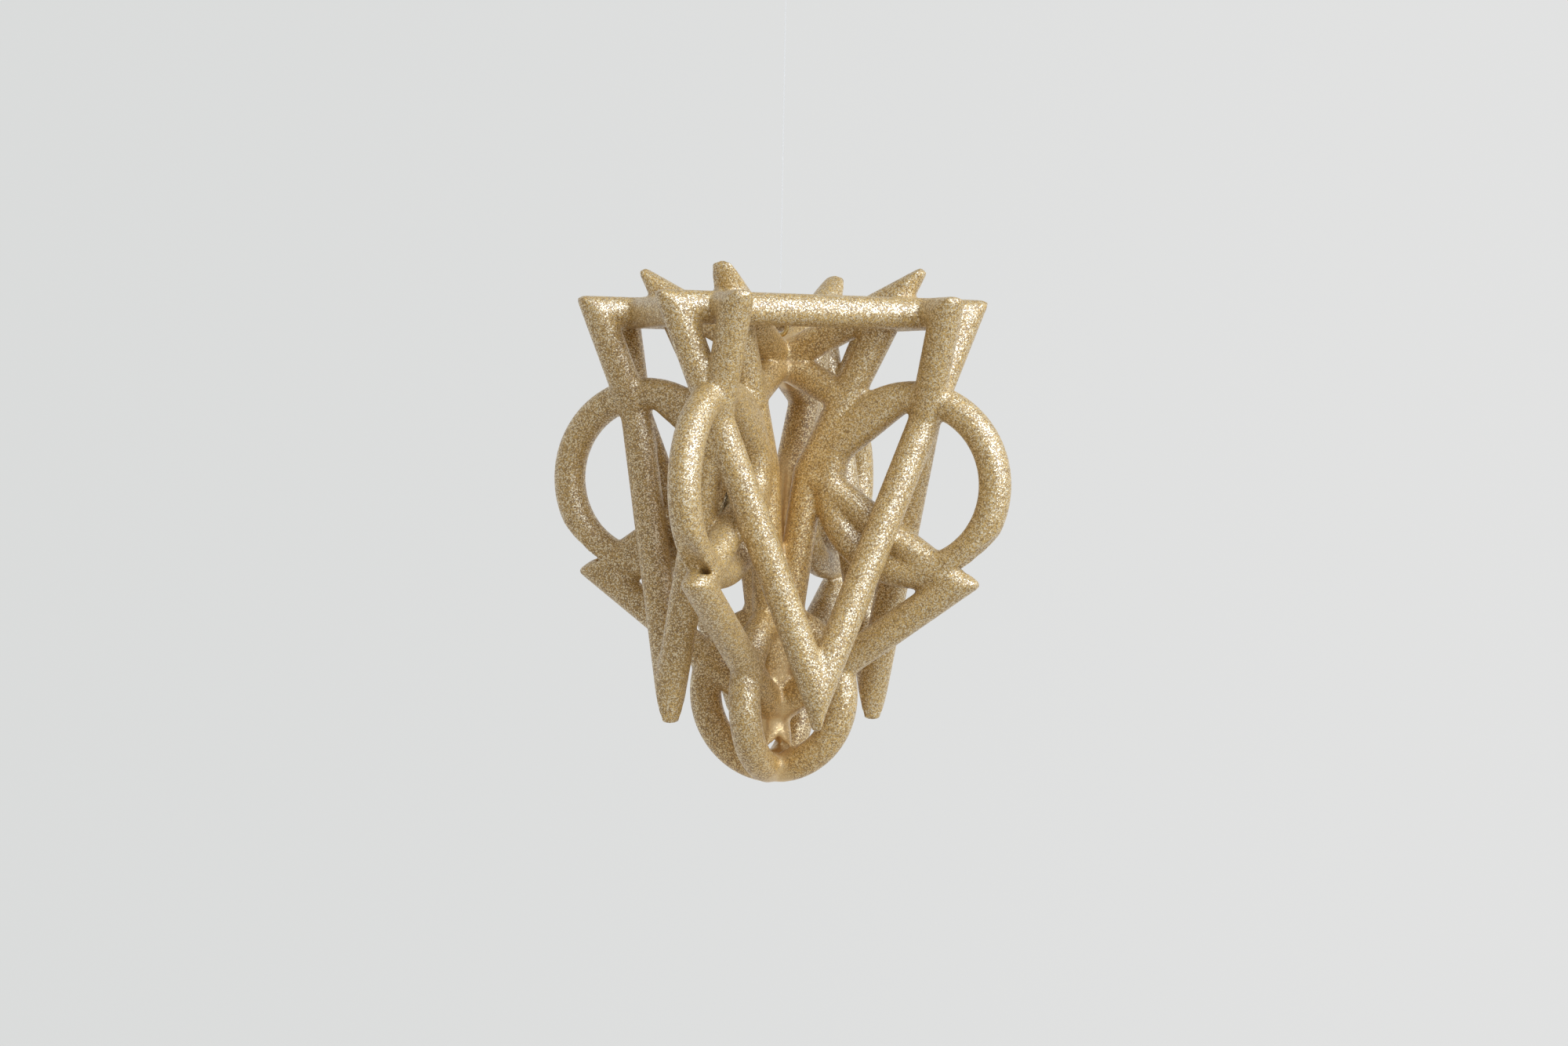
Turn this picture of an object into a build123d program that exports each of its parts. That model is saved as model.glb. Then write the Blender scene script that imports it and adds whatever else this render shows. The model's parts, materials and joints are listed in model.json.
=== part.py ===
from build123d import *
import os
from math import cos, radians, sin, sqrt, tan

# Sizes are in millimetres. The origin is the inside top of the hanging loop, +Z is up, and the four
# wings point along +X, +Y, -X and -Y. Heights of the openwork are measured from its own middle.

# Rods and the joints between them
rod_diameter = 6.0
tip_radius = 1.0
glue_gap = 0.06
hub_margin = 0.8

# Corner triangles, upright frames that face between the wings
triangle_offset = 21.0
triangle_half_width = 29.3
triangle_top = 40.0
triangle_depth = 30.8

# Rings, set from the point where the legs of two triangles cross
ring_radius = 16.5
ring_inset = 2.3
ring_rise = 4.5
strut_angle = 100.0

# Spikes, set from the point where the top bars of two triangles cross
spike_inset = 6.15
spike_rise = 2.9
upper_hub_height = 31.0

# Wing triangles and the bottom hoop
bend_reach = 6.6
bend_height = 10.0
wing_reach = 36.5
wing_depth = 10.5
keel_depth = 36.2
hoop_radius = 14.1
hoop_depth = 32.6

# Wire eye
eye_wire = 0.9
eye_radius = 1.5
eye_neck = 1.3
eye_depth = 3.6
eye_fit = 0.05

# Hanging thread
thread_diameter = 0.3
thread_drop = 113.0
eye_play = 0.25
loop_length = 10.2
loop_half_width = 2.6
loop_corner = 1.9
knot_length = 1.4
knot_diameter = 1.1
knot_waist = 0.6
tie_length = 3.3

rod_radius = rod_diameter / 2
sleeve_radius = rod_radius + glue_gap
hub_radius = rod_radius * sqrt(2) + hub_margin
overrun = 4 * rod_diameter
wing_names = ("right", "back", "left", "front")
corner_names = ("right_back", "left_back", "left_front", "right_front")
half_sector = 180 / len(wing_names)
wings = {name: 2 * half_sector * place for place, name in enumerate(wing_names)}
corners = {name: half_sector * (2 * place + 1) for place, name in enumerate(corner_names)}

os.makedirs("parts", exist_ok=True)


def on_wing(reach, height):
    """A point in the plane of the right wing."""
    return Vector(reach, 0, height - thread_drop)


def on_triangle(azimuth, along, height):
    """A point in the plane of the triangle that faces azimuth, along counted to its right from outside."""
    return Vector(triangle_offset, along, height - thread_drop).rotate(Axis.Z, azimuth)


def corner_overrun(corner, near, far):
    """How far a mitred rod runs past the corner point to reach the tip of the mitre."""
    opening = (near - corner).get_angle(far - corner)
    return rod_radius / tan(radians(opening / 2)) + glue_gap


def mitre(corner, kept, other):
    """The plane that halves the corner between two rods and keeps the side of the first."""
    across = ((kept - corner).normalized() - (other - corner).normalized()).normalized()
    return Plane(origin=corner + across * (glue_gap / 2), z_dir=across)


def tip_face(corner, near, far):
    """The plane that takes the sharp point off a mitred corner."""
    inward = ((near - corner).normalized() + (far - corner).normalized()).normalized()
    half_opening = radians((near - corner).get_angle(far - corner) / 2)
    reach = (rod_radius - tip_radius) / sin(half_opening) + tip_radius
    return Plane(origin=corner - inward * reach, z_dir=inward)


def straight(start, end, radius, before=0.0, after=0.0):
    """A plain round bar from start to end, run on past either end."""
    along = (end - start).normalized()
    foot = start - along * before
    with BuildPart() as bar:
        with BuildSketch(Plane(origin=foot, z_dir=along)):
            Circle(radius)
        extrude(amount=(end - start).length + before + after)
    return bar.part


def round_loop(centre, loop_radius, radius):
    """A full round hoop in the plane of the right wing."""
    with BuildPart() as hoop:
        with BuildSketch(Plane(origin=centre + Vector(0, 0, loop_radius), z_dir=(1, 0, 0))):
            Circle(radius)
        revolve(axis=Axis(tuple(centre), (0, 1, 0)), revolution_arc=360)
    return hoop.part


def half(body, plane):
    """The side of a cutter that lies above a plane."""
    with BuildPart() as cutter:
        add(body)
        split(bisect_by=plane, keep=Keep.TOP)
    return cutter.part


def shaped(body, planes=(), cutters=()):
    """A rod cut off by planes and let into its neighbours, without the crumbs past its joints."""
    with BuildPart() as piece:
        add(body)
        for plane in planes:
            split(bisect_by=plane, keep=Keep.TOP)
        for cutter in cutters:
            add(cutter, mode=Mode.SUBTRACT)
    return piece.part.solids().sort_by(SortBy.VOLUME)[-1]


def write(name, body, turn=0.0):
    """Places a piece at its turn about the upright axis and writes it under its name."""
    with BuildPart() as piece:
        add(body, rotation=(0, 0, turn))
    piece.part.label = name
    export_step(piece.part, f"parts/{name}.step")


# Corner points of one wing and of the triangle that faces +X
crossing_reach = triangle_offset * sqrt(2)
leg_share = triangle_offset / triangle_half_width
leg_crossing = (triangle_top + triangle_depth) * leg_share - triangle_depth
ring_centre = on_wing(crossing_reach - ring_inset, leg_crossing + ring_rise - ring_radius)
strut_end = ring_centre + Vector(cos(radians(strut_angle)), 0, sin(radians(strut_angle))) * ring_radius
hub = on_wing(0, upper_hub_height)
spike = on_wing(crossing_reach - spike_inset, triangle_top + spike_rise)
bend = on_wing(bend_reach, bend_height)
wing_tip = on_wing(wing_reach, -wing_depth)
keel = on_wing(0, -keel_depth)
hoop_centre = on_wing(0, -hoop_depth)
crown_slope = (spike.Z - hub.Z) / spike.X
spike_slope = (spike.Z - bend.Z) / (spike.X - bend.X)
brace_reach = (hub.Z - bend.Z + spike_slope * bend.X) / (spike_slope + crown_slope)
brace_end = Vector(brace_reach, 0, hub.Z - crown_slope * brace_reach)
keel_slope = (wing_tip.Z - keel.Z) / wing_tip.X
top_left = on_triangle(0, -triangle_half_width, triangle_top)
top_right = on_triangle(0, triangle_half_width, triangle_top)
foot = on_triangle(0, 0, -triangle_depth)

# Planes that keep a wing's rods in their own quarter round the axis
quarter = []
for side in (-1, 1):
    inward = Vector(0, side, 0).rotate(Axis.Z, -side * half_sector)
    quarter.append(Plane(origin=inward * (glue_gap / 2), z_dir=inward))
near_face = Plane(origin=(0, glue_gap / 2, 0), z_dir=(0, -1, 0))
far_face = Plane(origin=(0, -glue_gap / 2, 0), z_dir=(0, 1, 0))

# Sleeves, each a rod's own line made a glue gap wider, which cut its neighbours
crown_sleeve = straight(hub, spike, sleeve_radius)
spike_sleeve = straight(bend, spike, sleeve_radius, overrun, overrun)
core_sleeve = straight(keel, bend, sleeve_radius, overrun, overrun)
wing_sleeve = straight(bend, wing_tip, sleeve_radius, 0, overrun)
keel_sleeve = straight(keel, wing_tip, sleeve_radius, 0, overrun)
strut_sleeve = straight(bend, strut_end, sleeve_radius)
ring_sleeve = round_loop(ring_centre, ring_radius, sleeve_radius)
hoop_sleeve = round_loop(hoop_centre, hoop_radius, sleeve_radius)
bar_sleeves = []
leg_sleeves = []
for side in (-1, 1):
    azimuth = side * half_sector
    inner_corner = on_triangle(azimuth, -side * triangle_half_width, triangle_top)
    outer_corner = on_triangle(azimuth, side * triangle_half_width, triangle_top)
    bar_sleeves.append(straight(inner_corner, outer_corner, sleeve_radius))
    leg_sleeves.append(straight(on_triangle(azimuth, 0, -triangle_depth), inner_corner, sleeve_radius))

# Upper hub, where the crown rods and braces of the four wings run into each other
with BuildPart() as upper_hub:
    for turn in wings.values():
        add(straight(brace_end, Vector(-spike.X, 0, spike.Z), rod_radius), rotation=(0, 0, turn))
    with Locations(hub):
        Cylinder(hub_radius, overrun, mode=Mode.INTERSECT)
    with Locations(hub + Vector(0, 0, eye_depth)):
        Hole(eye_wire / 2 + eye_fit, depth=2 * eye_depth)
write("upper_hub", upper_hub.part)

# Lower hub, with the four mitred tips of the wing triangles crossing below it
lower_top = keel.Z + hub_radius * keel_slope + rod_radius * sqrt(1 + keel_slope**2) + hub_margin
keel_tip = corner_overrun(keel, wing_tip, bend)
keel_stub = shaped(straight(keel, wing_tip, rod_radius, keel_tip), [mitre(keel, wing_tip, bend)])
core_stub = shaped(straight(keel, bend, rod_radius, keel_tip), [mitre(keel, bend, wing_tip)])
with BuildPart() as lower_hub:
    for turn in wings.values():
        add(keel_stub, rotation=(0, 0, turn))
        add(core_stub, rotation=(0, 0, turn))
    with Locations((0, 0, lower_top)):
        Cylinder(hub_radius, overrun, align=(Align.CENTER, Align.CENTER, Align.MAX), mode=Mode.INTERSECT)
write("lower_hub", lower_hub.part)
hub_top_face = Plane(origin=(0, 0, lower_top + glue_gap), z_dir=(0, 0, 1))
hub_sleeve = straight(keel, hub, hub_radius + glue_gap, overrun, overrun)

# Wing rods, all lying in the plane of the wing
spike_overrun = corner_overrun(spike, hub, bend)
spike_face = tip_face(spike, hub, bend)
tip_overrun = corner_overrun(wing_tip, keel, bend)
wing_face = tip_face(wing_tip, keel, bend)
bend_overrun = corner_overrun(bend, spike, keel)
crown_rod = shaped(
    straight(hub, spike, rod_radius, 0, spike_overrun),
    [mitre(spike, hub, bend), spike_face],
    [hub_sleeve, *bar_sleeves],
)
hub_brace = shaped(straight(hub, brace_end, rod_radius), (), [hub_sleeve, crown_sleeve, spike_sleeve])
spike_rod = shaped(
    straight(bend, spike, rod_radius, bend_overrun, spike_overrun),
    [mitre(spike, bend, hub), spike_face, mitre(bend, spike, keel)],
    bar_sleeves,
)
core_rod = shaped(
    straight(keel, bend, rod_radius, 0, bend_overrun),
    [mitre(bend, keel, spike), hub_top_face, *quarter],
)
wing_rod = shaped(
    straight(bend, wing_tip, rod_radius, 0, tip_overrun),
    [mitre(wing_tip, bend, keel), wing_face],
    [spike_sleeve, core_sleeve, half(ring_sleeve, far_face), half(strut_sleeve, far_face)],
)
keel_rod = shaped(
    straight(keel, wing_tip, rod_radius, 0, tip_overrun),
    [mitre(wing_tip, keel, bend), wing_face],
    [hub_sleeve, half(hoop_sleeve, far_face)],
)

# Ring with its straight strut, open at the top where two crossing legs pass through it
with BuildPart() as ring_and_strut:
    add(round_loop(ring_centre, ring_radius, rod_radius))
    add(straight(bend, strut_end, rod_radius))
ring = shaped(
    ring_and_strut.part,
    (),
    [*leg_sleeves, spike_sleeve, core_sleeve, keel_sleeve, half(wing_sleeve, near_face)],
)

# Half of a bottom hoop, from the core rod round to the axis below the hub
half_hoop = shaped(
    round_loop(hoop_centre, hoop_radius, rod_radius),
    quarter,
    [core_sleeve, half(keel_sleeve, near_face)],
)

wing_pieces = {
    "crown_rod": crown_rod,
    "hub_brace": hub_brace,
    "spike_rod": spike_rod,
    "core_rod": core_rod,
    "wing_rod": wing_rod,
    "keel_rod": keel_rod,
    "ring": ring,
    "half_hoop": half_hoop,
}
for wing, turn in wings.items():
    for piece_name, piece_body in wing_pieces.items():
        write(f"{piece_name}_{wing}", piece_body, turn)

# Corner triangles, whose bars and legs are half lapped where they cross those of the next triangle
bar_crossings = []
leg_crossings = []
for side in (-1, 1):
    next_turn = side * 2 * half_sector
    next_left = on_triangle(next_turn, -triangle_half_width, triangle_top)
    next_right = on_triangle(next_turn, triangle_half_width, triangle_top)
    next_foot = on_triangle(next_turn, 0, -triangle_depth)
    bar_point = on_triangle(0, side * triangle_offset, triangle_top)
    bar_face = Plane(origin=bar_point + Vector(0, 0, side * glue_gap / 2), z_dir=(0, 0, -side))
    bar_crossings.append(half(straight(next_left, next_right, sleeve_radius), bar_face))
    own_corner = top_right if side > 0 else top_left
    next_corner = next_left if side > 0 else next_right
    leg_point = on_triangle(0, side * triangle_offset, leg_crossing)
    outward = (own_corner - foot).cross(next_corner - next_foot).normalized() * side
    leg_face = Plane(origin=leg_point + outward * (side * glue_gap / 2), z_dir=outward * -side)
    leg_crossings.append(half(straight(next_foot, next_corner, sleeve_radius), leg_face))

top_overrun = corner_overrun(top_right, top_left, foot)
foot_overrun = corner_overrun(foot, top_left, top_right)
left_face = tip_face(top_left, top_right, foot)
right_face = tip_face(top_right, top_left, foot)
foot_face = tip_face(foot, top_left, top_right)
top_bar = shaped(
    straight(top_left, top_right, rod_radius, top_overrun, top_overrun),
    [mitre(top_left, top_right, foot), left_face, mitre(top_right, top_left, foot), right_face],
    bar_crossings,
)
left_leg = shaped(
    straight(foot, top_left, rod_radius, foot_overrun, top_overrun),
    [mitre(foot, top_left, top_right), foot_face, mitre(top_left, foot, top_right), left_face],
    [leg_crossings[0]],
)
right_leg = shaped(
    straight(foot, top_right, rod_radius, foot_overrun, top_overrun),
    [mitre(foot, top_right, top_left), foot_face, mitre(top_right, foot, top_left), right_face],
    [leg_crossings[1]],
)
for corner, turn in corners.items():
    write(f"top_bar_{corner}", top_bar, turn)
    write(f"left_leg_{corner}", left_leg, turn)
    write(f"right_leg_{corner}", right_leg, turn)

# Wire eye, its stem pressed down into the upper hub
eye_centre = hub + Vector(0, 0, eye_depth + eye_neck + eye_radius)
with BuildPart() as hanging_eye:
    with BuildSketch(Plane(origin=eye_centre + Vector(0, 0, eye_radius), z_dir=(1, 0, 0))):
        Circle(eye_wire / 2)
    revolve(axis=Axis(tuple(eye_centre), (0, 1, 0)), revolution_arc=360)
    with BuildSketch(Plane(origin=hub, z_dir=(0, 0, 1))):
        Circle(eye_wire / 2)
    extrude(amount=eye_depth + eye_neck)
write("hanging_eye", hanging_eye.part)


def thread_tube(plane, points, corner_radius, end_face):
    """A thread along straight runs and round corners on a plane, its ends cut flush with a knot."""
    with BuildPart() as tube:
        with BuildLine(plane) as route:
            FilletPolyline(*points, radius=corner_radius)
        with BuildSketch(Plane(origin=route.line @ 0, z_dir=route.line % 0)):
            Circle(thread_diameter / 2)
        sweep(path=route.line)
        split(bisect_by=end_face, keep=Keep.TOP)
    return tube.part


def loop_route(entry_height, half_width, far_height):
    """Corner points of a thread that leaves a knot, runs round and comes back into it."""
    return [
        (knot_entry, entry_height),
        (half_width, far_height),
        (-half_width, far_height),
        (-knot_entry, entry_height),
    ]


def knot(height):
    """A small barrel knot that stands on a height of the thread."""
    with BuildPart() as barrel:
        with BuildSketch(Plane.XZ):
            with BuildLine():
                side = Spline(
                    (knot_waist / 2, height),
                    (knot_diameter / 2, height + knot_length / 2),
                    (knot_waist / 2, height + knot_length),
                )
                Polyline(side @ 1, (0, height + knot_length), (0, height), side @ 0)
            make_face()
        revolve(axis=Axis.Z)
    return barrel.part


# Thread, tied round the eye below and into a hanging loop above
eye_top = eye_centre.Z + eye_radius
tie_depth = (eye_wire + thread_diameter) / 2 + eye_play
tie_bottom = eye_top - tie_depth
tie_top = tie_bottom + tie_length
tie_half_width = tie_depth * tie_length / (tie_length - tie_depth)
knot_entry = thread_diameter / 2 + glue_gap
loop_bottom = thread_diameter - loop_length
top_knot_foot = loop_bottom - knot_length
thread_foot = tie_top + knot_length
tie_end = tie_top + thread_diameter
loop_end = loop_bottom - thread_diameter
loop_top = thread_diameter / 2
eye_tie = thread_tube(
    Plane.YZ,
    loop_route(tie_end, tie_half_width, tie_bottom),
    tie_depth - glue_gap,
    Plane(origin=(0, 0, tie_top), z_dir=(0, 0, -1)),
)
hanging_loop = thread_tube(
    Plane.XZ,
    loop_route(loop_end, loop_half_width, loop_top),
    loop_corner,
    Plane(origin=(0, 0, loop_bottom), z_dir=(0, 0, 1)),
)
thread_run = straight(Vector(0, 0, thread_foot), Vector(0, 0, top_knot_foot), thread_diameter / 2)
write("eye_tie", eye_tie)
write("lower_knot", knot(tie_top))
write("hanging_thread", thread_run)
write("upper_knot", knot(top_knot_foot))
write("hanging_loop", hanging_loop)
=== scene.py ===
"""Dresses the hanging ornament: glitter coat over the rods, wire eye, clear thread, knots and studio."""

import json
import math
from contextlib import contextmanager

import bmesh
import bpy
import numpy as np
from bpy.props import FloatProperty, FloatVectorProperty, IntProperty, PointerProperty
from mathutils import Matrix, Vector

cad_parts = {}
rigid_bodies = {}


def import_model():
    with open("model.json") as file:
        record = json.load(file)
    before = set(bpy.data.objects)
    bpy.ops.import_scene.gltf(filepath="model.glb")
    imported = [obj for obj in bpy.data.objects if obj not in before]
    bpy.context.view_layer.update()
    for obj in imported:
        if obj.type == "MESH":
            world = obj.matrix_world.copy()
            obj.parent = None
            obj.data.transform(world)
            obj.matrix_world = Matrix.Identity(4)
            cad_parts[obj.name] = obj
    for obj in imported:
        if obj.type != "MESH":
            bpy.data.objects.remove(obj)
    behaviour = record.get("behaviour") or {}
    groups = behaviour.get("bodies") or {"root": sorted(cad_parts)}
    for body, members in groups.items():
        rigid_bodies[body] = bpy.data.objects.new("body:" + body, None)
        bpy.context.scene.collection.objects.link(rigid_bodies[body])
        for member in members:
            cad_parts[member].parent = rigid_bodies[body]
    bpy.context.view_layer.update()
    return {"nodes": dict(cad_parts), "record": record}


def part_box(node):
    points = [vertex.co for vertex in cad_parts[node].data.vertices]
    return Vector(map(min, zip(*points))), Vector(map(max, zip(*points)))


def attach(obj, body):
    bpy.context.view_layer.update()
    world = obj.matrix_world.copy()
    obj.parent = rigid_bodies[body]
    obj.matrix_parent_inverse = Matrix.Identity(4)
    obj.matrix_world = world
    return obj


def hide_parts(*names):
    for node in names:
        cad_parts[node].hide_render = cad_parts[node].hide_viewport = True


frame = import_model()
bodies = frame["record"]["behaviour"]["bodies"]

bl_info = {
    "name": "Glitter ornament",
    "version": (1, 0, 0),
    "blender": (4, 5, 0),
    "location": "3D View > Sidebar > Ornament",
    "description": "Coats an openwork ornament with glitter, hangs it on a clear thread and lights it",
    "category": "Object",
}

ORNAMENT, THREAD, LOOP = "ornament", "thread", "loop"
EYE = "hanging_eye"
COATED = [name for name in bodies[ORNAMENT] if name != EYE]
WELD = 1e-6
MM = 0.001


class CoatSettings(bpy.types.PropertyGroup):
    """The glitter coat: how it lies on the rods and what its flakes look like."""

    grid: FloatProperty(
        name="Skin grid", description="Cell size of the skin that is drawn round the rods",
        default=0.4 * MM, min=0.2 * MM, max=2 * MM, unit="LENGTH", precision=5)
    seam_depth: FloatProperty(
        name="Seam depth", description="How far each piece's edge turns in under the surface at a joint",
        default=0.4 * MM, min=0.05 * MM, max=2 * MM, unit="LENGTH", precision=5)
    swell: FloatProperty(
        name="Swell", description="Coat thickness that makes up for what softening takes off the rods",
        default=0.08 * MM, min=0, max=1 * MM, unit="LENGTH", precision=5)
    softening: IntProperty(
        name="Softening", description="Smoothing passes that round the joints and tips", default=18, min=0, max=200)
    grain_size: FloatProperty(
        name="Grain size", description="Size of the lumps that the flakes make in the surface",
        default=0.45 * MM, min=0.1 * MM, max=5 * MM, unit="LENGTH", precision=5)
    grain_depth: FloatProperty(
        name="Grain depth", description="Height of the lumps from low to high",
        default=0.06 * MM, min=0, max=1 * MM, unit="LENGTH", precision=5)
    flake_size: FloatProperty(
        name="Flake size", description="Width of one glitter flake",
        default=0.2 * MM, min=0.05 * MM, max=5 * MM, unit="LENGTH", precision=5)
    flake_share: FloatProperty(
        name="Flake share", description="Share of the coat that is bare metal flakes, not warm gold",
        default=0.3, min=0, max=1, subtype="FACTOR")
    flake_lean: FloatProperty(
        name="Flake lean", description="How far flakes lean out of the surface",
        default=0.36, min=0, max=3, subtype="FACTOR")
    dark_gold: FloatVectorProperty(
        name="Dark gold", description="Darkest colour of the gold between the flakes",
        default=(0.21, 0.11, 0.022), subtype="COLOR", min=0, max=1)
    deep_gold: FloatVectorProperty(
        name="Deep gold", description="Brightest colour of the gold between the flakes",
        default=(0.65, 0.42, 0.125), subtype="COLOR", min=0, max=1)
    pale_gold: FloatVectorProperty(
        name="Pale gold", description="Colour of the metal flakes",
        default=(0.88, 0.76, 0.53), subtype="COLOR", min=0, max=1)
    paint_gold: FloatVectorProperty(
        name="Gold paint", description="Colour of the thin coat near the middle, where few flakes stick",
        default=(0.80, 0.56, 0.25), subtype="COLOR", min=0, max=1)
    # Painted bounce light and shade: a warm, darker tint multiplied into the coat near the axis, between the rods.
    painted_bounce_tint: FloatVectorProperty(
        name="Inner tint", description="Tint of the coat between the rods, where it is warmer",
        default=(1.0, 0.90, 0.66), subtype="COLOR", min=0, max=1)
    foot_drop: FloatProperty(
        name="Foot drop", description="Height of the drop of glitter that rounds each triangle's foot",
        default=0.95 * MM, min=0, max=2 * MM, unit="LENGTH", precision=5)


class ThreadSettings(bpy.types.PropertyGroup):
    """The clear thread, its knots and the wire eye."""

    diameter: FloatProperty(
        name="Thread diameter", description="Thickness of the clear thread",
        default=0.3 * MM, min=0.3 * MM, max=2 * MM, unit="LENGTH", precision=5)
    turns: IntProperty(
        name="Knot turns", description="Turns of thread round each knot", default=4, min=2, max=8)
    tint: FloatVectorProperty(
        name="Thread tint", description="Colour of the clear nylon",
        default=(0.90, 0.91, 0.92), subtype="COLOR", min=0, max=1)
    cover: FloatProperty(
        name="Thread cover", description="How much of what lies behind it the thread hides",
        default=0.09, min=0, max=1, subtype="FACTOR")
    brass: FloatVectorProperty(
        name="Eye wire", description="Colour of the brass wire",
        default=(0.78, 0.60, 0.30), subtype="COLOR", min=0, max=1)


class StudioSettings(bpy.types.PropertyGroup):
    """The glowing sweep with its painted light and shade, the lights and the camera."""

    # The sweep glows: these colours are painted light, brighter on the softbox's side, with painted shade on the
    # far side and behind the camera; the colour behind the camera also lights the sky.
    pale: FloatVectorProperty(
        name="Sweep, lit side", description="Colour of the studio sweep on the side of the softbox",
        default=(0.745, 0.748, 0.746), subtype="COLOR", min=0, max=1)
    shade: FloatVectorProperty(
        name="Sweep, far side", description="Colour of the studio sweep on the other side",
        default=(0.68, 0.69, 0.685), subtype="COLOR", min=0, max=1)
    room_glow: FloatVectorProperty(
        name="Room", description="Colour of the dimmer sweep behind the camera",
        default=(0.45, 0.43, 0.40), subtype="COLOR", min=0, max=1)
    floor_drop: FloatProperty(
        name="Floor drop", description="Height of the loop above the floor", default=0.9, min=0.2, unit="LENGTH")
    floor_radius: FloatProperty(
        name="Floor radius", description="Radius of the flat floor", default=1.8, min=0.5, unit="LENGTH")
    key_power: FloatProperty(
        name="Key light", description="Power of the softbox at the upper right", default=16.0, min=0, unit="POWER")
    key_colour: FloatVectorProperty(
        name="Key colour", description="Colour of the softbox's light",
        default=(0.84, 0.97, 1.18), subtype="COLOR", min=0, max=2)
    key_size: FloatProperty(
        name="Key size", description="Side of the softbox", default=1.1, min=0.01, unit="LENGTH")
    key_turn: FloatProperty(
        name="Key turn", description="Angle of the softbox to the right of the camera",
        default=math.radians(44), subtype="ANGLE")
    key_rise: FloatProperty(
        name="Key rise", description="Angle of the softbox above the ornament",
        default=math.radians(30), subtype="ANGLE")
    turn: FloatProperty(
        name="Camera turn", description="Angle of the camera round the thread, from the front wing",
        default=math.radians(22.06), subtype="ANGLE")
    pitch: FloatProperty(
        name="Camera pitch", description="Angle by which the camera looks down",
        default=math.radians(1.676), subtype="ANGLE")
    roll: FloatProperty(
        name="Camera roll", description="Tilt of the picture", default=math.radians(-1.048), subtype="ANGLE")
    distance: FloatProperty(
        name="Camera distance", description="Distance from the camera to the thread's line",
        default=0.636, min=0.1, unit="LENGTH")
    aside: FloatProperty(
        name="Camera shift aside", description="Distance of the picture's middle to the right of the thread's line",
        default=1.491 * MM, unit="LENGTH", precision=5)
    aim: FloatProperty(
        name="Aim height", description="Height of the picture's middle, from the hanging loop's top",
        default=-113.0 * MM, unit="LENGTH", precision=5)
    lens: FloatProperty(
        name="Lens", description="Focal length on a sensor 36 mm wide", default=76.32, min=1, unit="CAMERA")


def only(*objects):
    """Selects these objects and no others, the first one active."""
    bpy.ops.object.select_all(action="DESELECT")
    for each in objects:
        each.select_set(True)
    bpy.context.view_layer.objects.active = objects[0]


@contextmanager
def editing(*objects):
    """Edit mode on these objects, with all of their mesh selected."""
    only(*objects)
    bpy.ops.object.mode_set(mode="EDIT")
    bpy.ops.mesh.select_mode(type="VERT")
    bpy.ops.mesh.select_all(action="SELECT")
    yield
    bpy.ops.object.mode_set(mode="OBJECT")


def modified(target, kind, **settings):
    """Adds a modifier with these settings and applies it."""
    only(target)
    bpy.ops.object.modifier_add(type=kind)
    modifier = target.modifiers[-1]
    for key, value in settings.items():
        setattr(modifier, key, value)
    bpy.ops.object.modifier_apply(modifier=modifier.name)


def placed(piece, body, slot, *nodes):
    """Says which body a piece moves with and hides the nodes it stands for; the slot, what it is made of, is not
    used.
    """
    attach(piece, body)
    if nodes:
        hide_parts(*nodes)
    return piece


class Signal:
    """An output of a shader's node that can stand in a Python sum."""

    def __init__(self, paint, made, output):
        self.paint = paint
        self.made = made
        self.socket = made.outputs[output]

    def out(self, output):
        """Another output of the same node."""
        return Signal(self.paint, self.made, output)

    def sum(self, operation, first, second):
        """A sum of two values, each a signal or a plain number."""
        return self.paint.node("ShaderNodeMath", {"operation": operation}, {0: first, 1: second})

    def __add__(self, other):
        return self.sum("ADD", self, other)

    def __sub__(self, other):
        return self.sum("SUBTRACT", self, other)

    def __rsub__(self, other):
        return self.sum("SUBTRACT", other, self)

    def __mul__(self, other):
        return self.sum("MULTIPLY", self, other)

    def __pow__(self, other):
        return self.sum("POWER", self, other)

    def __lt__(self, other):
        return self.sum("LESS_THAN", self, other)

    __radd__ = __add__
    __rmul__ = __mul__


class Paint:
    """A material whose nodes are written as expressions."""

    def __init__(self, name, constants):
        self.material = bpy.data.materials.new(name)
        self.material.use_nodes = True
        self.tree = self.material.node_tree
        self.surface = self.tree.nodes["Principled BSDF"]
        for key, value in constants.items():
            self.surface.inputs[key].default_value = value

    def node(self, kind, settings=None, inputs=None, output=0):
        """A node of that kind with its settings first, then its sockets' values or links."""
        made = self.tree.nodes.new(kind)
        for key, value in (settings or {}).items():
            setattr(made, key, value)
        for key, value in (inputs or {}).items():
            self.feed(made.inputs[key], value)
        return Signal(self, made, output)

    def feed(self, socket, value):
        """Links a signal to a socket, or sets a plain value on it."""
        if isinstance(value, Signal):
            self.tree.links.new(value.socket, socket)
        else:
            socket.default_value = value

    def mix(self, share, first, second, blend="MIX"):
        """A colour between two colours, or the second one blended over the first."""
        settings = {"data_type": "RGBA", "blend_type": blend}
        return self.node("ShaderNodeMix", settings, {0: share, 6: first, 7: second}, output=2)

    def between(self, value, low, high):
        """How far a value has come from low to high, eased at both ends."""
        settings = {"interpolation_type": "SMOOTHSTEP", "clamp": True}
        return self.node("ShaderNodeMapRange", settings, {"Value": value, "From Min": low, "From Max": high})

    def vector(self, operation, first, second=(0, 0, 0)):
        """A sum with one or two vectors."""
        return self.node("ShaderNodeVectorMath", {"operation": operation}, {0: first, 1: second})

    def noise(self, place, size):
        """Soft noise with lumps of that size, in metres."""
        return self.node("ShaderNodeTexNoise", {}, {"Vector": place, "Scale": 1 / size, "Detail": 2.0})


def solid(colour):
    """A colour with full cover, as a socket holds it."""
    return (*colour, 1.0)


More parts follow.
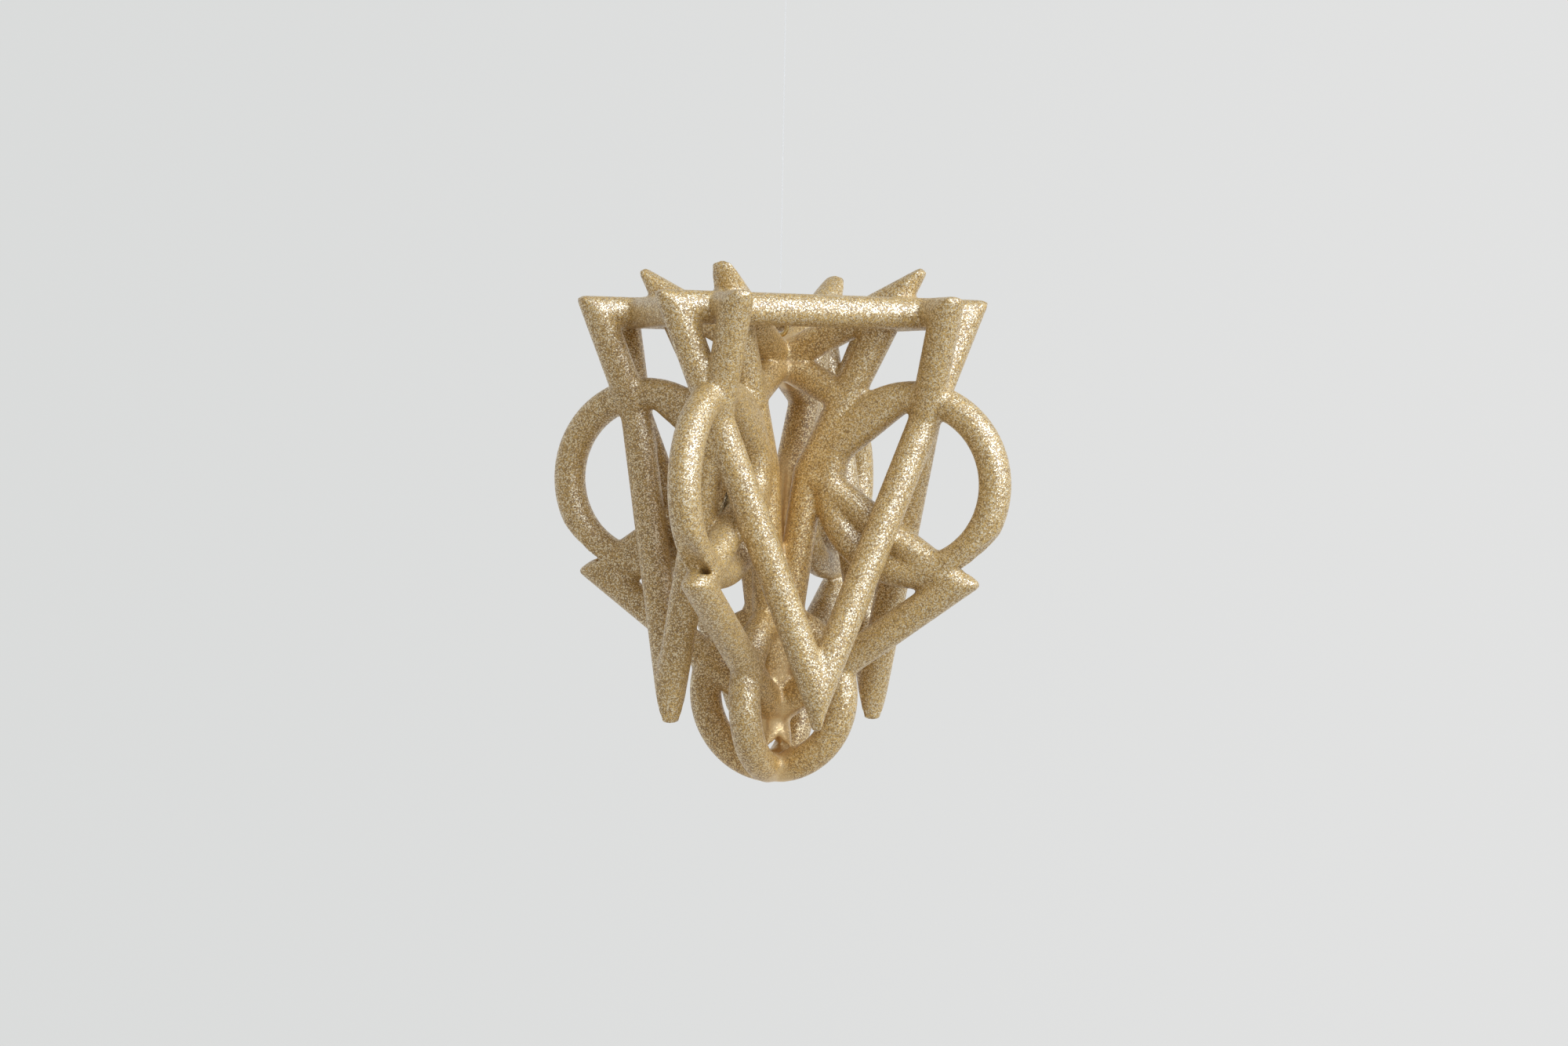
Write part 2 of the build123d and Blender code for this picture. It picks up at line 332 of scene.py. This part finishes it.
def glitter_coat(coat):
    """Gold glitter: metal flakes that lean every way in warm gold, thin and smooth near the upright axis, with
    painted warm bounce light and shade between the rods.
    """
    patch_size, patch_shift = 5 * MM, 6 * MM
    cover_from, cover_to = 1.5 * MM, 6 * MM
    bounce_from, bounce_to = 4 * MM, 18 * MM
    least_lean, paint_metal = 0.2, 0.7
    paint_rough, flakes_rougher, rough_spread = 0.3, 0.12, 0.2
    paint = Paint("glitter_coat", {"Coat Weight": 1.0, "Coat Roughness": 0.5, "Coat IOR": 1.6})
    place = paint.node("ShaderNodeTexCoord", output="Object")
    parts = paint.node("ShaderNodeSeparateXYZ", {}, {0: place})
    from_axis = (parts.out("X") ** 2 + parts.out("Y") ** 2) ** 0.5
    patches = paint.noise(place, patch_size)
    cover = paint.between(from_axis + (patches - 0.5) * patch_shift, cover_from, cover_to)
    # Painted bounce light and shade: how far from the axis the warm, darker tint fades out.
    beyond_bounce = paint.between(from_axis, bounce_from, bounce_to)

    cells = paint.node("ShaderNodeTexVoronoi", {}, {"Vector": place, "Scale": 1 / coat.flake_size}, "Color")
    chance = paint.node("ShaderNodeTexWhiteNoise", {}, {"Vector": cells.out("Position")}, "Color")
    odds = paint.node("ShaderNodeSeparateColor", {}, {0: chance})
    lean = paint.vector("SUBTRACT", cells, (0.5, 0.5, 0.5))
    reach = (least_lean + (1 - least_lean) * cover) * coat.flake_lean
    pushed = paint.node("ShaderNodeVectorMath", {"operation": "SCALE"}, {0: lean, "Scale": reach})
    facing = paint.node("ShaderNodeNewGeometry", output="Normal")
    leaning = paint.vector("NORMALIZE", paint.vector("ADD", facing, pushed))
    paint.feed(paint.surface.inputs["Normal"], leaning)

    metal = odds.out("Red") < coat.flake_share
    warm = paint.mix(odds.out("Green"), solid(coat.dark_gold), solid(coat.deep_gold))
    flakes = paint.mix(metal, warm, solid(coat.pale_gold))
    # Painted bounce light and shade: near the axis the flakes' colour is multiplied by the warm tint.
    tint = paint.mix(beyond_bounce, solid(coat.painted_bounce_tint), solid((1, 1, 1)))
    bounce_shaded = paint.mix(1.0, flakes, tint, "MULTIPLY")
    rough = paint_rough + (flakes_rougher + rough_spread * odds.out("Blue")) * cover
    paint.feed(paint.surface.inputs["Base Color"], paint.mix(cover, solid(coat.paint_gold), bounce_shaded))
    paint.feed(paint.surface.inputs["Metallic"], metal * cover + paint_metal * (1 - cover))
    paint.feed(paint.surface.inputs["Roughness"], rough)
    return paint.material


def brass_wire(thread):
    """Drawn brass wire with faint dulling."""
    dull_size, dull_shade = 0.4 * MM, 0.7
    least_rough, rough_spread = 0.18, 0.2
    paint = Paint("brass_wire", {"Metallic": 1.0})
    place = paint.node("ShaderNodeTexCoord", output="Object")
    dull = paint.noise(place, dull_size)
    shade = paint.mix(dull, solid(thread.brass), solid([dull_shade * part for part in thread.brass]))
    paint.feed(paint.surface.inputs["Base Color"], shade)
    paint.feed(paint.surface.inputs["Roughness"], least_rough + rough_spread * dull)
    return paint.material


def clear_nylon(thread):
    """Clear nylon with faint streaks along it, one material for all pieces of thread."""
    made = bpy.data.materials.get("clear_nylon")
    if made:
        return made
    streak_size, streak_shade = 0.6 * MM, 0.92
    paint = Paint("clear_nylon", {"Roughness": 0.12, "IOR": 1.53, "Alpha": thread.cover})
    place = paint.node("ShaderNodeTexCoord", output="Object")
    streaks = paint.noise(place, streak_size)
    shade = paint.mix(streaks, solid(thread.tint), solid([streak_shade * part for part in thread.tint]))
    paint.feed(paint.surface.inputs["Base Color"], shade)
    return paint.material


def lit_sweep(studio):
    """The sweep's paper as a painted glow: its emission is brighter on the softbox's side, painted light, and
    dimmer behind the camera, painted shade.
    """
    grey = (0.03, 0.03, 0.03)
    half_aside, room_until, paper_from = 1.2, -0.6, 1.3
    paint = Paint("lit_sweep", {
        "Base Color": solid(grey), "Roughness": 1.0, "Specular IOR Level": 0.0, "Emission Strength": 1.0})
    place = paint.node("ShaderNodeTexCoord", output="Object")
    parts = paint.node("ShaderNodeSeparateXYZ", {}, {0: place})
    aside = parts.out("X") * math.cos(studio.turn) + parts.out("Y") * math.sin(studio.turn)
    ahead = parts.out("Y") * math.cos(studio.turn) - parts.out("X") * math.sin(studio.turn)
    # Painted light: the glow is brighter on the softbox's side and dimmer on the far side.
    paper = paint.mix(paint.between(aside, -half_aside, half_aside), solid(studio.shade), solid(studio.pale))
    # Painted shade: the glow dims to the room colour behind the camera.
    light = paint.mix(paint.between(ahead, room_until, paper_from), solid(studio.room_glow), paper)
    paint.feed(paint.surface.inputs["Emission Color"], light)
    return paint.material


def joined_rods():
    """One object of copies of all the coated nodes, each with a material slot of its own as a mark."""
    copies = []
    for name in COATED:
        copy = bpy.data.objects.new("rods", frame["nodes"][name].data.copy())
        copy.data.materials.clear()
        copy.data.materials.append(bpy.data.materials.new(f"mark.{name}"))
        copy.data.polygons.foreach_set("material_index", [0] * len(copy.data.polygons))
        bpy.context.scene.collection.objects.link(copy)
        copies.append(copy)
    only(*copies)
    bpy.ops.object.join()
    bpy.ops.mesh.customdata_custom_splitnormals_clear()
    bpy.ops.object.shade_smooth(keep_sharp_edges=False)
    return copies[0]


def neighbours(mesh):
    """Pairs of faces that share an edge."""
    edges = np.empty(len(mesh.loops), np.int64)
    mesh.loops.foreach_get("edge_index", edges)
    sides = np.empty(len(mesh.polygons), np.int64)
    mesh.polygons.foreach_get("loop_total", sides)
    faces = np.repeat(np.arange(len(sides)), sides)
    order = np.argsort(edges, kind="stable")
    edges, faces = edges[order], faces[order]
    shared = edges[1:] == edges[:-1]
    return faces[:-1][shared], faces[1:][shared]


def islands(marks, first, second):
    """A number for each face that all faces of its unbroken patch share."""
    alike = marks[first] == marks[second]
    first, second = first[alike], second[alike]
    patch = np.arange(len(marks))
    while True:
        least = np.minimum(patch[first], patch[second])
        merged = patch.copy()
        np.minimum.at(merged, first, least)
        np.minimum.at(merged, second, least)
        merged = merged[merged]
        if np.array_equal(merged, patch):
            return patch
        patch = merged


def votes(marks, first, second, count):
    """The faces on seams, and the votes on each one's mark, two from each neighbour."""
    seam = marks[first] != marks[second]
    faces = np.unique(np.concatenate((first[seam], second[seam])))
    row = np.full(len(marks), -1)
    row[faces] = np.arange(len(faces))
    found = np.zeros((len(faces), count + 1), np.int16)
    for face, other in ((first, second), (second, first)):
        near = row[face] >= 0
        np.add.at(found, (row[face][near], marks[other][near]), 2)
    return faces, found


def settled_marks(mesh, rounds=10):
    """The mark of each face, with even seams and one unbroken patch for each mark."""
    count = len(mesh.materials)
    marks = np.empty(len(mesh.polygons), np.int32)
    mesh.polygons.foreach_get("material_index", marks)
    first, second = neighbours(mesh)
    for _ in range(rounds):
        faces, found = votes(marks, first, second, count)
        # A face's own mark has half a neighbour's say, which settles ties.
        found[np.arange(len(faces)), marks[faces]] += 1
        marks[faces] = found.argmax(axis=1)
    patch = islands(marks, first, second)
    sizes = np.bincount(patch, minlength=len(marks))
    # Patches apart from the largest of their mark are loose, and join the mark that they border most.
    for mark in range(count):
        own = marks == mark
        main = patch[own][sizes[patch[own]].argmax()]
        marks[own & (patch != main)] = count
    while (marks == count).any():
        faces, found = votes(marks, first, second, count)
        found[:, count] = 0
        loose = marks[faces] == count
        seams = np.zeros((len(marks), count + 1), np.int32)
        np.add.at(seams, patch[faces[loose]], found[loose])
        met = (marks == count) & (seams.max(axis=1)[patch] > 0)
        if not met.any():
            raise RuntimeError("a part of the skin touches no marked face")
        marks[met] = seams.argmax(axis=1)[patch[met]]
    return marks


def rims(shell):
    """The open edges of a shell as closed chains, each in the order of its faces' corners."""
    ahead = {}
    for edge in shell.edges:
        if edge.is_boundary:
            corner = edge.link_loops[0]
            turn = corner.link_loop_next
            while not turn.edge.is_boundary:
                turn = turn.link_loop_radial_next.link_loop_next
            ahead[corner] = turn
    chains = []
    while ahead:
        corner, turn = ahead.popitem()
        chain = [corner]
        while turn in ahead:
            chain.append(turn)
            turn = ahead.pop(turn)
        chains.append(chain)
    return chains


def laced(rim):
    """Triangles that close a ring of points from its far ends, each new side as short as can be."""
    start = max(rim, key=lambda each: (each.co - rim[0].co).length)
    turn = rim.index(start)
    rim = rim[turn:] + rim[:turn]
    stop = rim.index(max(rim, key=lambda each: (each.co - start.co).length))
    left, right = rim[:stop + 1], [start, *reversed(rim[stop:])]
    here, there = 1, 1
    sides = [(left[1], start, right[1])]
    while here < len(left) - 1 or there < len(right) - 1:
        along_left = along_right = math.inf
        if here < len(left) - 1:
            along_left = (left[here + 1].co - right[there].co).length
        if there < len(right) - 1:
            along_right = (right[there + 1].co - left[here].co).length
        if along_left < along_right:
            sides.append((left[here + 1], left[here], right[there]))
            here += 1
        else:
            sides.append((right[there], right[there + 1], left[here]))
            there += 1
    return [side for side in sides if len(set(side)) == 3]


def capped(mesh, turn_in):
    """Turns each open rim of a patch in under the surface, keeps it sharp and laces it shut."""
    shell = bmesh.new()
    shell.from_mesh(mesh)
    for chain in rims(shell):
        inner = [shell.verts.new(corner.vert.co - corner.vert.normal * turn_in) for corner in chain]
        for place, corner in enumerate(chain):
            corner.edge.smooth = False
            after = (place + 1) % len(chain)
            shell.faces.new((chain[after].vert, corner.vert, inner[place], inner[after]))
        for side in laced(inner):
            shell.faces.new(side)
    shell.to_mesh(mesh)
    shell.free()


class ORNAMENT_OT_coat_rods(bpy.types.Operator):
    """Draw one skin round the rods, round its joints, and part it into a closed glitter piece for each node"""

    bl_idname = "ornament.coat_rods"
    bl_label = "Coat the rods"

    def execute(self, context):
        coat = context.scene.ornament_coat
        material = glitter_coat(coat)
        for piece in self.parted(self.skin(coat), coat):
            mark = piece.data.materials[piece.data.polygons[0].material_index]
            node = mark.name.split(".", 1)[1]
            piece.name = f"glitter_{node}"
            piece.data.name = piece.name
            piece.data.materials.clear()
            piece.data.materials.append(material)
            placed(piece, ORNAMENT, "glitter_gold", node)
        for mark in [each for each in bpy.data.materials if each.name.startswith("mark.")]:
            bpy.data.materials.remove(mark)
        return {"FINISHED"}

    def skin(self, coat):
        """The rods fused, softened and grained, as one closed surface."""
        skin = joined_rods()
        with editing(skin):
            bpy.ops.mesh.remove_doubles(threshold=WELD)
        skin.data.remesh_voxel_size = coat.grid * 1
        skin.data.use_remesh_preserve_attributes = True
        skin.data.use_remesh_preserve_volume = False
        skin.data.use_remesh_fix_poles = False
        only(skin)
        bpy.ops.object.voxel_remesh()
        self.keep_outer(skin)
        modified(skin, "SMOOTH", factor=0.5, iterations=coat.softening)
        with editing(skin):
            bpy.ops.transform.shrink_fatten(value=coat.swell)
        self.drop_feet(skin, coat.foot_drop)
        grain = bpy.data.textures.new("glitter_grain", "CLOUDS")
        grain.noise_scale = coat.grain_size
        grain.noise_depth = 1
        modified(skin, "DISPLACE", texture=grain, texture_coords="LOCAL", strength=coat.grain_depth, mid_level=0.5)
        return skin

    def keep_outer(self, skin):
        """Deletes each surface that isn't joined to the outermost point, such as the wall of a hollow inside."""
        outermost = int(np.argmax([vertex.co.x for vertex in skin.data.vertices]))
        with editing(skin):
            bpy.ops.mesh.select_all(action="DESELECT")
            bpy.ops.object.mode_set(mode="OBJECT")
            skin.data.vertices[outermost].select = True
            bpy.ops.object.mode_set(mode="EDIT")
            bpy.ops.mesh.select_linked()
            bpy.ops.mesh.select_all(action="INVERT")
            bpy.ops.mesh.delete(type="VERT")

    def drop_feet(self, skin, drop):
        """Domes the flat foot of each triangle, where the glitter gathers in a drop."""
        half_width, half_depth, reach = 2.2 * MM, 3.2 * MM, 3 * MM
        points = np.empty(3 * len(skin.data.vertices), np.float32)
        skin.data.vertices.foreach_get("co", points)
        points = points.reshape(-1, 3)
        for name in (each for each in COATED if each.startswith("left_leg")):
            boxes = np.array([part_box(name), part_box(name.replace("left_leg", "right_leg"))])
            low, high = boxes[:, 0].max(axis=0), boxes[:, 1].min(axis=0)
            middle = (low + high)[:2] / 2
            near = np.all(np.abs(points[:, :2] - middle) < 2 * reach, axis=1) & (points[:, 2] < low[2] + reach)
            foot = points[near]
            out = middle / np.linalg.norm(middle)
            deep = (foot[:, :2] - middle) @ out / half_depth
            wide = (foot[:, :2] - middle) @ (-out[1], out[0]) / half_width
            above = (foot[:, 2] - low[2]) / reach
            points[near, 2] -= drop * np.clip(1 - deep ** 2 - wide ** 2, 0, 1) * np.clip(1 - above, 0, 1)
        skin.data.vertices.foreach_set("co", points.ravel())
        skin.data.update()

    def parted(self, skin, coat):
        """The skin cut along the joints, each patch closed inside the joint and its cut edge kept sharp."""
        skin.data.polygons.foreach_set("material_index", settled_marks(skin.data))
        with editing(skin):
            bpy.ops.mesh.separate(type="MATERIAL")
        pieces = list(bpy.context.selected_objects)
        for piece in pieces:
            capped(piece.data, coat.seam_depth)
        only(*pieces)
        bpy.ops.object.shade_smooth()
        return pieces


def thread_curve(name, points, diameter, material):
    """A round thread on one smooth open line through a route's points."""
    curve = bpy.data.curves.new(name, "CURVE")
    curve.dimensions = "3D"
    curve.bevel_depth = diameter / 2
    curve.bevel_resolution = 3
    curve.use_fill_caps = True
    line = curve.splines.new("NURBS")
    line.points.add(len(points) - 1)
    for point, place in zip(line.points, points):
        point.co = (*place, 1.0)
    line.order_u = 3
    line.use_endpoint_u = True
    line.resolution_u = 16
    curve.materials.append(material)
    piece = bpy.data.objects.new(name, curve)
    bpy.context.scene.collection.objects.link(piece)
    return piece


class ORNAMENT_OT_tie_knots(bpy.types.Operator):
    """Wind a barrel knot of thread at each end of the straight run"""

    bl_idname = "ornament.tie_knots"
    bl_label = "Tie the knots"

    def execute(self, context):
        thread = context.scene.ornament_thread
        for node, body in (("lower_knot", THREAD), ("upper_knot", LOOP)):
            placed(self.knot(f"wound_{node}", node, thread), body, "clear_thread", node)
        return {"FINISHED"}

    def knot(self, name, node, thread):
        """Turns of thread that swell towards the middle of the knot."""
        squeeze, waist, steps_a_turn = 0.9, 0.24 * MM, 14
        low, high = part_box(node)
        wire = thread.diameter * squeeze
        belly = (high[0] - low[0]) / 2 - wire / 2 - waist
        steps = steps_a_turn * thread.turns
        places = []
        for step in range(steps + 1):
            along = step / steps
            turned = 2 * math.pi * thread.turns * along
            out = waist + belly * math.sin(math.pi * along)
            up = low[2] + wire / 2 + (high[2] - low[2] - wire) * along
            places.append((out * math.cos(turned), out * math.sin(turned), up))
        wound = thread_curve(name, places, wire, clear_nylon(thread))
        wound.data.splines[0].resolution_u = 3
        only(wound)
        bpy.ops.object.convert(target="MESH")
        with editing(wound):
            bpy.ops.mesh.remove_doubles(threshold=WELD)
            bpy.ops.mesh.normals_make_consistent(inside=False)
        bpy.ops.object.shade_smooth()
        return wound


class ORNAMENT_OT_string_thread(bpy.types.Operator):
    """String the straight thread, the tie round the eye and the hanging loop"""

    bl_idname = "ornament.string_thread"
    bl_label = "String the thread"

    def execute(self, context):
        thread = context.scene.ornament_thread
        nylon = clear_nylon(thread)
        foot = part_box("hanging_thread")[0][2]
        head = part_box("hanging_thread")[1][2]
        lead = 6 * thread.diameter
        run = [(0, 0, foot), (0, 0, foot + lead), (0, 0, head - lead), (0, 0, head)]
        line = thread_curve("clear_line", run, thread.diameter, nylon)
        placed(line, THREAD, "clear_thread", "hanging_thread")

        knot_entry, tie_half_width = 0.21 * MM, 1.1449 * MM
        tie_bottom, tie_top = -74.95 * MM, -71.65 * MM
        tie_route = [
            (0, knot_entry, tie_top),
            (0, tie_half_width, tie_bottom),
            (0, -tie_half_width, tie_bottom),
            (0, -knot_entry, tie_top),
        ]
        tie = thread_curve("clear_tie", tie_route, thread.diameter, nylon)
        placed(tie, THREAD, "clear_thread", "eye_tie")

        loop_half_width, loop_top, loop_bottom = 2.6 * MM, 0.15 * MM, -9.9 * MM
        loop_route = [
            (knot_entry, 0, loop_bottom),
            (loop_half_width, 0, loop_top),
            (-loop_half_width, 0, loop_top),
            (-knot_entry, 0, loop_bottom),
        ]
        loop = thread_curve("clear_loop", loop_route, thread.diameter, nylon)
        placed(loop, LOOP, "clear_thread", "hanging_loop")

        return {"FINISHED"}


class ORNAMENT_OT_finish_eye(bpy.types.Operator):
    """Give the wire eye its brass"""

    bl_idname = "ornament.finish_eye"
    bl_label = "Finish the eye"

    def execute(self, context):
        eye = frame["nodes"][EYE]
        eye.data.materials.clear()
        eye.data.materials.append(brass_wire(context.scene.ornament_thread))
        return {"FINISHED"}


class ORNAMENT_OT_set_studio(bpy.types.Operator):
    """Set up the glowing sweep with its painted light and shade, the softbox and the camera"""

    bl_idname = "ornament.set_studio"
    bl_label = "Set the studio"

    def execute(self, context):
        studio = context.scene.ornament_studio
        self.sweep(studio)
        self.sky(context.scene, studio)
        self.softbox(studio)
        self.camera(context.scene, studio)
        return {"FINISHED"}

    def sweep(self, studio):
        """A round floor that curves up into a wall on every side, glowing with painted light."""
        steps, bend, wall = 10, 0.9, 2.0
        radius = studio.floor_radius
        bpy.ops.object.select_all(action="DESELECT")
        bpy.ops.mesh.primitive_circle_add(vertices=96, radius=radius, fill_type="NGON", location=(0, 0, 0))
        floor = bpy.context.object
        floor.name = "studio_sweep"
        with editing(floor):
            bpy.ops.mesh.select_mode(type="EDGE")
            bpy.ops.transform.translate(value=(0, 0, -studio.floor_drop))
            bpy.ops.mesh.select_all(action="DESELECT")
            bpy.ops.mesh.select_non_manifold(extend=False)
            for step in range(steps + 1):
                now = math.pi / 2 * min(step + 1, steps) / steps
                was = math.pi / 2 * step / steps
                grown = radius + bend * (math.sin(now) - math.sin(was))
                risen = bend * (math.cos(was) - math.cos(now)) if step < steps else wall
                bpy.ops.mesh.extrude_edges_move()
                bpy.ops.transform.translate(value=(0, 0, risen))
                if step < steps:
                    bpy.ops.transform.resize(value=(grown / radius, grown / radius, 1), center_override=(0, 0, 0))
                    radius = grown
        bpy.ops.object.shade_smooth()
        floor.data.materials.append(lit_sweep(studio))

    def sky(self, scene, studio):
        """Even light through the open top of the sweep."""
        world = bpy.data.worlds.new("studio_sky")
        world.use_nodes = True
        world.node_tree.nodes["Background"].inputs["Color"].default_value = solid(studio.room_glow)
        scene.world = world
        scene.view_settings.view_transform = "Standard"

    def softbox(self, studio):
        """The key light, to the right of the camera and above."""
        distance = 1.1
        target = Vector((0, 0, studio.aim))
        level = studio.turn + studio.key_turn
        flat = Vector((math.sin(level), -math.cos(level), 0))
        out = flat * math.cos(studio.key_rise) + Vector((0, 0, math.sin(studio.key_rise)))
        light = bpy.data.lights.new("softbox", "AREA")
        light.shape = "SQUARE"
        light.size = studio.key_size
        light.energy = studio.key_power
        light.color = studio.key_colour
        lamp = bpy.data.objects.new("softbox", light)
        lamp.location = target + out * distance
        lamp.rotation_euler = (-out).to_track_quat("-Z", "Y").to_euler()
        lamp.visible_camera = False
        bpy.context.scene.collection.objects.link(lamp)

    def camera(self, scene, studio):
        """The camera that took the picture, from the fitted angles."""
        roll, pitch = studio.roll, studio.pitch
        axes = Matrix((
            (math.cos(roll), -math.sin(roll) * math.sin(pitch), -math.sin(roll) * math.cos(pitch)),
            (0, math.cos(pitch), -math.sin(pitch)),
            (math.sin(roll), math.cos(roll) * math.sin(pitch), math.cos(roll) * math.cos(pitch)),
        ))
        spun = Matrix.Rotation(studio.turn, 3, "Z")
        right, ahead, up = (spun @ row for row in axes)
        place = right * studio.aside - ahead * studio.distance + Vector((0, 0, studio.aim))
        data = bpy.data.cameras.new("camera")
        data.lens = studio.lens
        data.sensor_fit = "HORIZONTAL"
        data.clip_start, data.clip_end = 0.01, 50
        camera = bpy.data.objects.new("camera", data)
        turned = Matrix((right, up, -ahead)).transposed().to_4x4()
        camera.matrix_world = Matrix.Translation(place) @ turned
        scene.collection.objects.link(camera)
        scene.camera = camera


class ORNAMENT_PT_sidebar(bpy.types.Panel):
    """The ornament's steps and settings"""

    bl_idname = "ORNAMENT_PT_sidebar"
    bl_label = "Glitter ornament"
    bl_space_type = "VIEW_3D"
    bl_region_type = "UI"
    bl_category = "Ornament"

    def draw(self, context):
        for operator in OPERATORS:
            self.layout.operator(operator.bl_idname)
        for group in (context.scene.ornament_coat, context.scene.ornament_thread, context.scene.ornament_studio):
            box = self.layout.box()
            for key in group.__annotations__:
                box.prop(group, key)


OPERATORS = (
    ORNAMENT_OT_set_studio,
    ORNAMENT_OT_tie_knots,
    ORNAMENT_OT_string_thread,
    ORNAMENT_OT_finish_eye,
    ORNAMENT_OT_coat_rods,
)
CLASSES = (CoatSettings, ThreadSettings, StudioSettings, *OPERATORS, ORNAMENT_PT_sidebar)


def register():
    for each in CLASSES:
        bpy.utils.register_class(each)
    bpy.types.Scene.ornament_coat = PointerProperty(type=CoatSettings)
    bpy.types.Scene.ornament_thread = PointerProperty(type=ThreadSettings)
    bpy.types.Scene.ornament_studio = PointerProperty(type=StudioSettings)


def unregister():
    del bpy.types.Scene.ornament_coat, bpy.types.Scene.ornament_thread, bpy.types.Scene.ornament_studio
    for each in reversed(CLASSES):
        bpy.utils.unregister_class(each)


def main():
    register()
    bpy.ops.ornament.set_studio()
    bpy.ops.ornament.tie_knots()
    bpy.ops.ornament.string_thread()
    bpy.ops.ornament.finish_eye()
    bpy.ops.ornament.coat_rods()
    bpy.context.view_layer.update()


if __name__ == "__main__":
    main()
